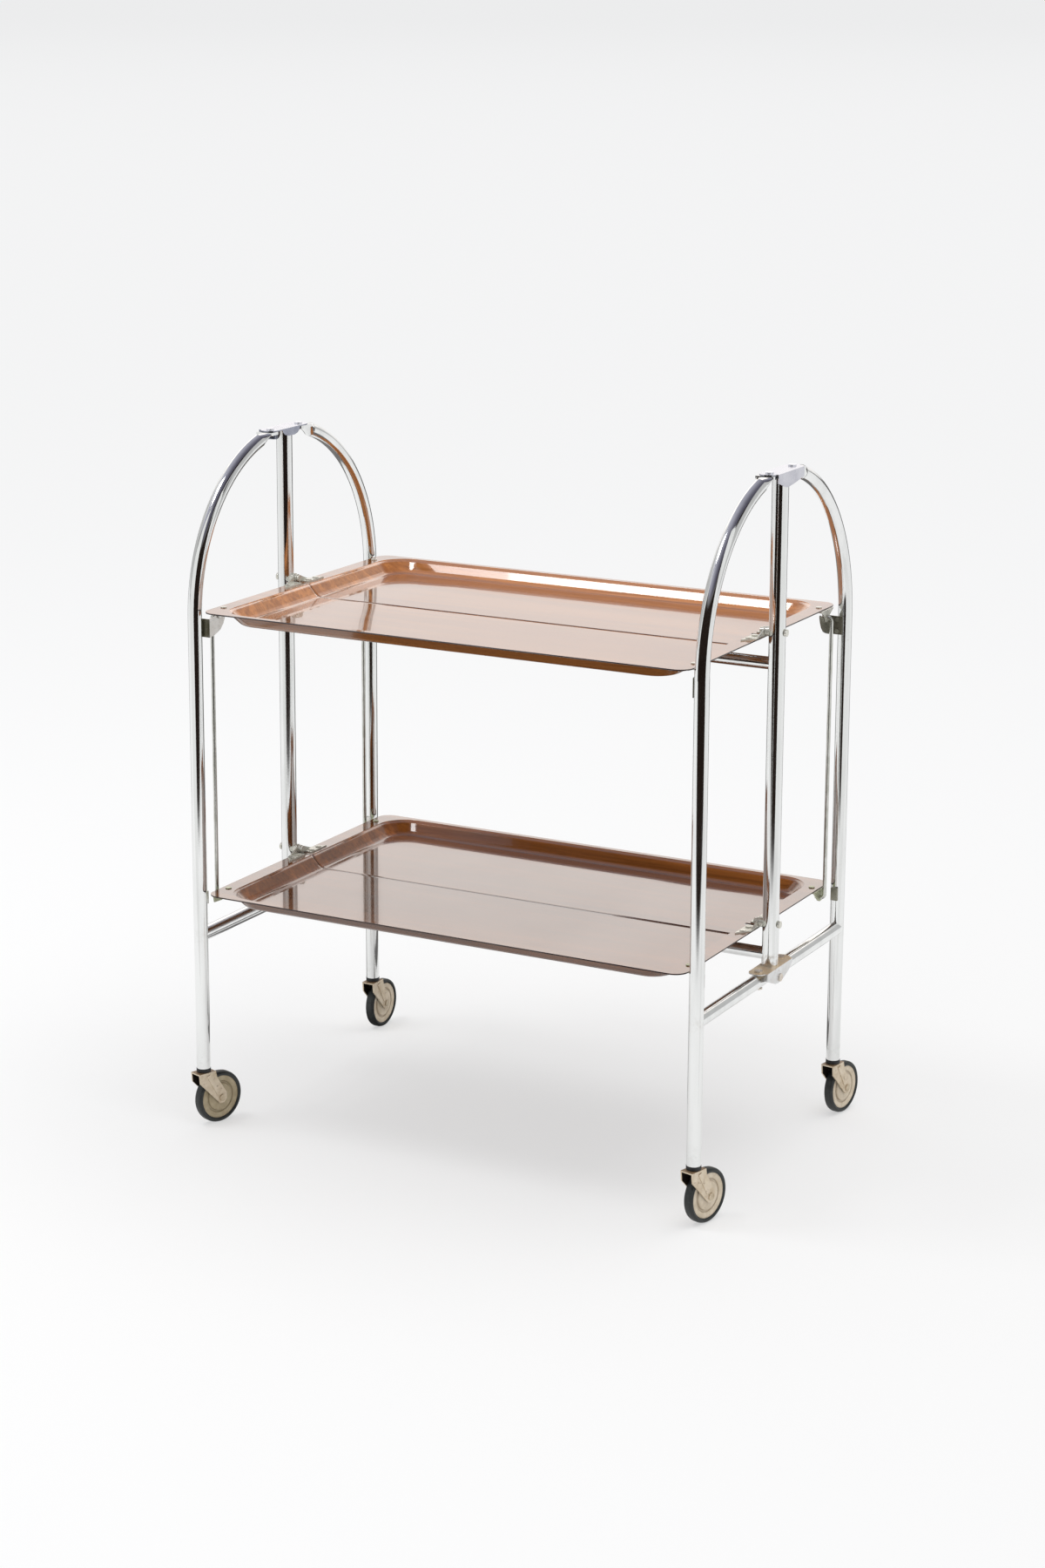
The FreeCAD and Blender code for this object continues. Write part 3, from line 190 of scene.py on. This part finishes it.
def zinc(name, base, deep, rust, rough, rust_colour=RUST, metal=0.9, dent=0.10, above=None,
         facing=None, middle=None):
    """Plated sheet or wire: cloudy grey, with rust and dirt in small patches. Above the level
    `above` it is bright and clean. `facing` gives an axis and the colour of the faces that look
    along it, where given only as far out as a third value. Faces that look at the point `middle`
    are painted nearly black, a painted shade for the shade between parts."""
    made, n, put = material(name)
    here = n.place()
    cloud = n.noise(here, 70.0, 5.0, 0.65)
    grit = n.noise(here, 700.0, 3.0, 0.6)
    speckle = n.math("ADD", n.noise(here, 190.0, 5.0, 0.7), n.times(grit, 0.15))
    patch = n.step(speckle, 0.72 - rust * 0.2, 0.84 - rust * 0.2)
    colour = n.mix(n.step(cloud, 0.32, 0.68), srgb(deep), srgb(base))
    patch = n.times(patch, min(1.0, rust * 2.2))
    if above is not None:
        clean = n.step(n.split(here)[2], above, above + 0.01)
        patch = n.times(patch, n.math("SUBTRACT", 1.0, clean))
        colour = n.mix(clean, colour, srgb(BRIGHT_ZINC))
    if facing is not None:
        axis, face_colour, *farther_out = facing
        along = n.math("ABSOLUTE", n.split(n.outward())[axis])
        marked = n.times(n.step(along, 0.90, 0.97), n.step(cloud, 0.30, 0.50, 0.6, 1.0))
        for limit in farther_out:
            out_there = n.math("ABSOLUTE", n.split(here)[axis])
            marked = n.times(marked, n.step(out_there, limit - 0.0006, limit - 0.0002))
        colour = n.mix(marked, colour, srgb(face_colour))
    # Painted shade: faces that look in towards `middle` are painted nearly black.
    if middle is not None:
        away = n.vector("SUBTRACT", here, middle)
        inward = n.vector("DOT_PRODUCT", away, n.outward())
        colour = n.mix(n.step(inward, -0.004, -0.002, 1.0, 0.0), colour, srgb(PAINTED_INNER_SHADE))
    colour = n.mix(patch, colour, srgb(rust_colour))
    n.put(put["Base Color"], colour)
    n.put(put["Metallic"], n.math("SUBTRACT", metal, n.times(patch, 0.6), clamp=True))
    n.put(put["Roughness"], n.math("ADD", n.step(cloud, 0.2, 0.8, rough + 0.08, rough - 0.06),
                                   n.times(patch, 0.25)))
    n.put(put["Normal"], n.bump(n.math("ADD", grit, cloud), dent, 0.0004))
    return made


def laminate(name, light, mid, dark, seam_from, flange, gloss=1.62):
    """Glossy wood-grain laminate: long fine grain along X, broad bands and a dark cut edge. Its
    edges round off under the flange and at the seam, most where X is beyond seam_from."""
    made, n, put = material(name)
    here = n.place()
    drift = n.add("ShaderNodeTexNoise", {
        "Vector": n.scaled(here, (1.1, 3, 3)), "Scale": 2.0, "Detail": 2.0}).outputs[1]
    bent = n.vector("ADD", here, n.vector("MULTIPLY", drift, (0.0, 0.03, 0.03)))
    broad = n.noise(n.scaled(bent, (0.9, 16, 16)), 1.0, 4.0, 0.6)
    fine = n.noise(n.scaled(bent, (4.0, 230, 230)), 1.0, 3.0, 0.6)
    pores = n.noise(n.scaled(bent, (16, 900, 900)), 1.0, 2.0, 0.6)
    streak = n.noise(n.scaled(bent, (1.4, 70, 70)), 1.0, 2.0, 0.5)
    upward = n.split(n.outward())[2]
    colour = n.mix(n.step(broad, 0.30, 0.70), srgb(mid), srgb(light))
    for mask, shade in (
            (n.step(streak, 0.46, 0.66, 0.0, 0.6), srgb(light, 1.18)),
            (n.step(fine, 0.40, 0.74, 0.0, 0.5), srgb(dark)),
            (n.step(pores, 0.55, 0.75, 0.0, 0.4), srgb(dark, 0.7)),
            # Painted shade: faces that look down are painted much darker, and faces that look
            # straight up a little darker.
            (n.step(upward, -0.3, 0.0, 0.6, 0.0), srgb(dark, 0.55)),
            (n.step(upward, 0.90, 0.98, 0.0, 0.45), srgb(dark, 0.8))):
        colour = n.mix(mask, colour, shade)
    cut = n.step(n.math("ABSOLUTE", upward), 0.10, 0.25, 1.0, 0.0)
    along, depth, height = n.split(here)
    # The dark line along the seam, fading out towards low X, is partly the seam's own dark edge
    # and partly painted shade of the small step between the tray's halves.
    open_here = n.step(along, seam_from, seam_from + 0.12, 0.08, 1.0)
    seam = n.math("ABSOLUTE", depth)
    seam_line_and_shade = n.times(n.step(seam, 0.0022, 0.0036, 1.0, 0.0), open_here)
    colour = n.mix(n.math("MAXIMUM", cut, seam_line_and_shade), colour, srgb(CUT_EDGE_AND_SEAM_SHADE))
    n.put(put["Base Color"], colour)
    smear = n.noise(n.scaled(here, (9, 9, 9)), 1.0, 4.0, 0.6)
    n.put(put["Roughness"], n.step(smear, 0.3, 0.8, 0.10, 0.18))
    put["IOR"].default_value = 1.0 + 0.8 * (gloss - 1.0)
    n.put(put["Coat Weight"], n.step(upward, -0.10, 0.0, 0.3, 1.0))
    put["Coat Roughness"].default_value = 0.025
    put["Coat IOR"].default_value = gloss
    worn = n.bump(n.math("ADD", pores, fine), 0.03, 0.0002)
    bend = n.step(height, flange - 0.0034, flange, 0.0019, 0.0)
    round_off = n.math("ADD", n.times(n.step(seam, 0.0004, 0.0036, 0.0, 0.0020), open_here), bend)
    rounded = {"Height": round_off, "Distance": 1.0}
    n.put(put["Normal"], n.add("ShaderNodeBump", {**rounded, "Normal": worn}))
    n.put(put["Coat Normal"], n.add("ShaderNodeBump", rounded))
    return made


def rubber(name):
    made, n, put = material(name)
    here = n.place()
    dust = n.noise(here, 120.0, 5.0, 0.65)
    scuff = n.step(n.noise(here, 420.0, 3.0, 0.7), 0.55, 0.78)
    colour = n.mix(n.step(dust, 0.40, 0.74), srgb((26, 30, 29)), srgb((50, 54, 52)))
    colour = n.mix(n.times(scuff, 0.18), colour, srgb(SCUFFED))
    n.put(put["Base Color"], colour)
    n.put(put["Roughness"], n.step(dust, 0.3, 0.8, 0.42, 0.68))
    n.put(put["Normal"], n.bump(dust, 0.15, 0.0004))
    return made


def plastic(name, base, deep, rough=0.36, stain=0.0, grime_and_shade=None):
    """Cloudy plastic with spots. Its last argument gives the colour painted into its slots, a
    painted shade mixed with dirt, and how wide they are.
    """
    made, n, put = material(name)
    here = n.place()
    cloud = n.noise(here, 90.0, 5.0, 0.6)
    spots = n.step(n.noise(here, 260.0, 4.0, 0.7), 0.60, 0.76)
    colour = n.mix(n.step(cloud, 0.3, 0.72), srgb(deep), srgb(base))
    colour = n.mix(n.times(spots, stain), colour, srgb(GRUBBY))
    if grime_and_shade is not None:
        grime_and_shade_colour, reach = grime_and_shade
        # Painted shade: the piece's own slots and corners, found by ambient occlusion, are
        # darkened towards a dirty brown.
        colour = n.mix(n.times(n.recess(reach), 0.9), colour, srgb(grime_and_shade_colour))
    n.put(put["Base Color"], colour)
    n.put(put["Roughness"], n.step(cloud, 0.3, 0.8, rough, rough + 0.18))
    n.put(put["Normal"], n.bump(cloud, 0.08, 0.0003))
    return made


# ---------------------------------------------------------------- stage
PALE = 0.908                    # the floor as the eye sees it
PALE_FAR = PALE - 0.06          # the floor far off, and the world behind it
ROOM_DARK = srgb((36, 28, 24))
FLOOR_HALF = 200.0
FLOOR_LIGHT = 0.325             # what the world's light makes of the colour that the eye sees
FLOOR_LAMP_LIGHT = 0.10         # what the lamp adds to that right below it
LAMP_AT = Vector((0.9, 0.2, 3.0))
WORLD_LIGHT = 0.78
WINDOW_LEVEL, WINDOW_BACK = 3.0, -0.45
CARD_AHEAD, CARD_TALL, CARD_GLOW = 0.52, 1.7, 0.88
BLACK, WHITE = (0, 0, 0, 1), (1.0, 1.0, 1.0)


def toward(n, direction, degrees, low, high):
    """1 where a level direction lies within an angle of the one this many degrees to the right of
    the camera's, fading out between the angles low and high."""
    turned = Matrix.Rotation(math.radians(degrees), 3, "Z") @ TOWARDS_CAMERA
    level = n.vector("NORMALIZE", n.vector("MULTIPLY", direction, (1, 1, 0)))
    along = n.vector("DOT_PRODUCT", level, turned)
    return n.step(along, math.cos(math.radians(high)), math.cos(math.radians(low)))


def add_sheet(name, corners):
    """A flat sheet with a matt material of its own, whose nodes and sockets are given back."""
    mesh = bpy.data.meshes.new(name)
    mesh.from_pydata(corners, [], [(0, 1, 2, 3)])
    sheet = bpy.data.objects.new(name, mesh)
    bpy.context.scene.collection.objects.link(sheet)
    made, n, put = material(name)
    mesh.materials.append(made)
    put["Specular IOR Level"].default_value = 0.0
    return sheet, n, put


def add_floor():
    """A pale floor that runs far back. The eye and mirrors see half its colour, and a glow makes
    up the rest, which keeps the object's shadow as light as a white sweep does. On the camera's
    side, beyond 1.3 or so, and in two wedges behind the part, mirrors see the unlit room."""
    edge = FLOOR_HALF
    floor, n, put = add_sheet("floor", [(-edge, -edge, 0), (edge, -edge, 0), (edge, edge, 0),
                                        (-edge, edge, 0)])
    here = n.add("ShaderNodeNewGeometry").outputs["Position"]
    path = n.add("ShaderNodeLightPath")
    seen = n.math("MAXIMUM", path.outputs["Is Camera Ray"], path.outputs["Is Glossy Ray"])
    reach = n.vector("DOT_PRODUCT", here, TOWARDS_CAMERA)
    side = n.math("MAXIMUM", n.times(toward(n, here, 149, 14, 17), 0.85),
                  n.times(toward(n, here, -153, 12, 15), 0.80))
    beyond = n.math("MAXIMUM", n.step(reach, 1.15, 1.45), side)
    dark = n.times(beyond, path.outputs["Is Glossy Ray"])
    foot = n.vector("DISTANCE", here, (LAMP_AT.x, LAMP_AT.y, 0))
    near = n.math("DIVIDE", LAMP_AT.z ** 2, n.math("MULTIPLY_ADD", foot, foot, LAMP_AT.z ** 2))
    lit = n.math("MULTIPLY_ADD", n.times(near, near), FLOOR_LAMP_LIGHT, FLOOR_LIGHT)
    wanted = n.step(n.times(reach, -1.0), 8.0, 60.0, PALE, PALE_FAR)
    glow = n.times(n.math("SUBTRACT", wanted, lit), n.math("SUBTRACT", seen, dark, clamp=True))
    albedo = n.mix(seen, (0.84, 0.84, 0.84, 1), (0.42, 0.42, 0.42, 1))
    n.put(put["Base Color"], n.mix(dark, albedo, ROOM_DARK))
    put["Emission Color"].default_value = (1.0, 0.998, 0.995, 1)
    n.put(put["Emission Strength"], glow)
    put["Roughness"].default_value = 1.0


def add_world():
    """A white world. Mirrors see it as a bright sweep low down, a grey ceiling with a dark gap,
    and a dark room on the side of the camera."""
    world = bpy.data.worlds.new("studio")
    bpy.context.scene.world = world
    world.use_nodes = True
    n = Nodes(world.node_tree)
    out = n.add("ShaderNodeOutputWorld")
    path = n.add("ShaderNodeLightPath")
    way = n.add("ShaderNodeTexCoord").outputs["Generated"]
    across, _, rise = n.split(way)
    dark = n.times(toward(n, way, 0, 75, 88), n.step(rise, 0.48, 0.66, 1.0, 0.0))
    sweep = n.mix(n.step(rise, 0.22, 0.28), (1.0, 0.98, 0.965, 1), (1.55, 1.47, 1.41, 1))
    sweep = n.mix(toward(n, way, 180, 30, 45), (0.55, 0.55, 0.55, 1), sweep)
    ceiling = n.mix(n.step(across, -0.60, 0.60), srgb((176, 176, 190)), srgb((84, 82, 96)))
    gap = n.times(n.step(across, 0.58, 0.64), n.step(across, 0.72, 0.78, 1.0, 0.0))
    ceiling = n.mix(n.step(n.math("ABSOLUTE", across), 0.62, 0.80), ceiling, (0.95, 0.95, 0.97, 1))
    ceiling = n.mix(gap, ceiling, ROOM_DARK)
    room = n.mix(n.step(rise, 0.50, 0.62), sweep, ceiling)
    room = n.mix(dark, room, ROOM_DARK)
    colour = n.mix(path.outputs["Is Glossy Ray"], (0.97, 0.98, 1.0, 1), room)
    strength = n.blend(path.outputs["Is Camera Ray"], WORLD_LIGHT, PALE_FAR)
    strength = n.blend(path.outputs["Is Glossy Ray"], strength, 1.0)
    background = n.add("ShaderNodeBackground", {"Color": colour, "Strength": strength})
    n.put(out.inputs["Surface"], background)


def add_lamp(name, place, target, spread, power, colour):
    lamp = bpy.data.lights.new(name, "AREA")
    lamp.shape = "RECTANGLE"
    lamp.size, lamp.size_y = spread
    lamp.energy = power
    lamp.color = colour
    box = bpy.data.objects.new(name, lamp)
    bpy.context.scene.collection.objects.link(box)
    box.location = place
    box.rotation_mode = "QUATERNION"
    box.rotation_quaternion = (target - place).to_track_quat("-Z", "Y")
    return box


def add_window(name, left, right, front, glow):
    """A lamp that looks straight down, which mirrors see as a bright pane."""
    middle = Vector(((left + right) / 2, (front + WINDOW_BACK) / 2, WINDOW_LEVEL))
    spread = (right - left, WINDOW_BACK - front)
    add_lamp(name, middle, middle - Vector((0, 0, 1)), spread,
             glow * math.pi * spread[0] * spread[1], WHITE)


def add_card(name, start, end):
    """A white card beside the camera's view, which only mirrors see."""
    foot, far = (TOWARDS_CAMERA * CARD_AHEAD + TO_THE_RIGHT * v for v in (start, end))
    rise = Vector((0, 0, CARD_TALL))
    card, _, put = add_sheet(name, [foot, far, far + rise, foot + rise])
    put["Base Color"].default_value = BLACK
    put["Emission Color"].default_value = (0.985, 0.99, 0.985, 1)
    put["Emission Strength"].default_value = CARD_GLOW
    for ray in ("camera", "diffuse", "shadow", "transmission", "volume_scatter"):
        setattr(card, "visible_" + ray, False)


add_camera()
add_floor()
add_world()
softbox = add_lamp("softbox", LAMP_AT, Vector((-0.05, 0, 0.4)), (2.4, 1.6), 30.0,
                   (1.0, 0.985, 0.96))
softbox.visible_glossy = False
add_window("window", -1.46, -0.77, -1.25, 10.0)
add_window("window_edge", -1.82, -1.46, -0.85, 5.0)
add_card("card_left", -3.5, -0.52)
add_card("card_right", 0.43, 3.5)


# ---------------------------------------------------------------- dressing
CROSS_TUBE_LEVEL, LEG_END, POST_END = 0.230, 0.082, 0.246
UPPER_FLANGE, LOWER_FLANGE = 0.610, 0.282
CATCH_SHEET = 0.0014
SLOT_REACH = 0.004
Y, Z = 1, 2


def dress(starts, made):
    """Gives every piece whose name begins in one of these ways this material alone."""
    for name in nodes:
        if name.startswith(starts):
            mesh = nodes[name].data
            mesh.materials.clear()
            mesh.materials.append(made)


dress("leg_", chrome("chrome_leg", stains=(
    (CROSS_TUBE_LEVEL, 0.010, 0.12, (128, 98, 66)), (LEG_END, 0.014, 0.10, (110, 100, 86)))))
dress("post_", chrome("chrome_post", stains=((POST_END, 0.010, 0.7, (128, 96, 62)),)))
dress(("cross_tube", "rail_"), chrome("chrome_cross", rough=0.13))

# Painted highlight: the top brackets' faces that look up or down are painted lighter than the
# rest.
dress("top_bracket", zinc(
    "bracket_bright", (208, 208, 215), (196, 196, 205), rust=0.0, rough=0.16, dent=0.03,
    facing=(Z, (232, 232, 240))))
# The left top bracket gets a darker copy of the same zinc, a painted shade, with the same painted
# highlight on its faces that look up or down.
dress("top_bracket_left", zinc(
    "bracket_painted_shade", (164, 167, 180), (148, 151, 165), rust=0.0, rough=0.18, dent=0.03,
    facing=(Z, (232, 232, 240))))
dress("lower_bracket", zinc(
    "bracket_low", (226, 227, 228), (214, 213, 210), rust=0.3, rust_colour=(168, 130, 92),
    rough=0.32, metal=0.4, facing=(Z, (228, 206, 174))))
dress(("hinge_ears", "corner_brackets", "tray_hinge"), zinc(
    "fitting_zinc", (222, 220, 210), (206, 204, 192), rust=0.1, rust_colour=(120, 104, 78),
    rough=0.24, metal=0.5, dent=0.03))
dress("corner_brackets_lower", zinc(
    "fitting_olive", (190, 192, 164), (164, 166, 136), rust=0.15, rust_colour=(112, 96, 64),
    rough=0.26, metal=0.5, dent=0.03))
dress("bracket_rivets", zinc(
    "rivet_steel", (222, 214, 204), (206, 194, 178), rust=0.45, rust_colour=(150, 104, 66),
    rough=0.28, metal=0.6, dent=0.04, above=0.5))
dress("wheel_axle", zinc(
    "axle_steel", (214, 200, 176), (176, 158, 130), rust=0.2, rust_colour=(104, 80, 56),
    rough=0.36, metal=0.6))
dress("link_rod", zinc(
    "rod_wire", (216, 216, 212), (190, 190, 182), rust=0.05, rough=0.18, metal=1.0))

# The left catches are light, with the plate that is riveted to the leg darker than the hook.
for catch in [name for name in nodes if name.startswith("catch_")]:
    plate = max(abs(corner[Y]) for corner in nodes[catch].bound_box) - CATCH_SHEET
    if catch.startswith("catch_left"):
        look = dict(base=(232, 230, 226), deep=(220, 217, 210), rust=0.05, rough=0.22, dent=0.03,
                    facing=(Y, (106, 103, 84), plate))
    else:
        look = dict(base=(150, 148, 134), deep=(132, 130, 116), rust=0.1,
                    rust_colour=(90, 78, 60), rough=0.26, dent=0.04,
                    facing=(Y, (104, 100, 86), plate))
    dress(catch, zinc("catch_zinc" + catch[len("catch"):], metal=0.5, **look))

# Each fork's faces that look in towards its middle are painted nearly black, a painted shade
# between its cheeks.
for fork in [name for name in nodes if name.startswith("castor_fork")]:
    corners = [Vector(corner) for corner in nodes[fork].bound_box]
    dress(fork, zinc(
        "castor_zinc" + fork[len("castor_fork"):], (222, 208, 186), (200, 182, 154), rust=0.34,
        rust_colour=(126, 98, 70), rough=0.46, metal=0.3, facing=(Z, (140, 114, 86)),
        middle=sum(corners, Vector()) / len(corners)))

dress("tray_upper", laminate(
    "laminate_upper", (184, 121, 66), (168, 103, 52), (130, 76, 36), -0.28, UPPER_FLANGE))
dress("tray_lower", laminate(
    "laminate_lower", (150, 92, 46), (126, 74, 34), (86, 46, 20), 0.10, LOWER_FLANGE, gloss=1.45))
dress("wheel_tyre", rubber("tyre"))
# Both hubs get a painted shade, mixed with dirt, in their slots.
dress("wheel_hub", plastic(
    "hub", (224, 210, 188), (200, 184, 158), stain=0.4, grime_and_shade=((104, 80, 56), SLOT_REACH)))
dress("wheel_hub_left_front", plastic(
    "hub_olive", (186, 172, 142), (162, 146, 114), stain=0.45, grime_and_shade=((84, 70, 48), SLOT_REACH)))
dress("castor_collar", plastic("collar", (26, 26, 28), (16, 16, 18), rough=0.45))

bpy.context.scene.view_settings.view_transform = "Standard"
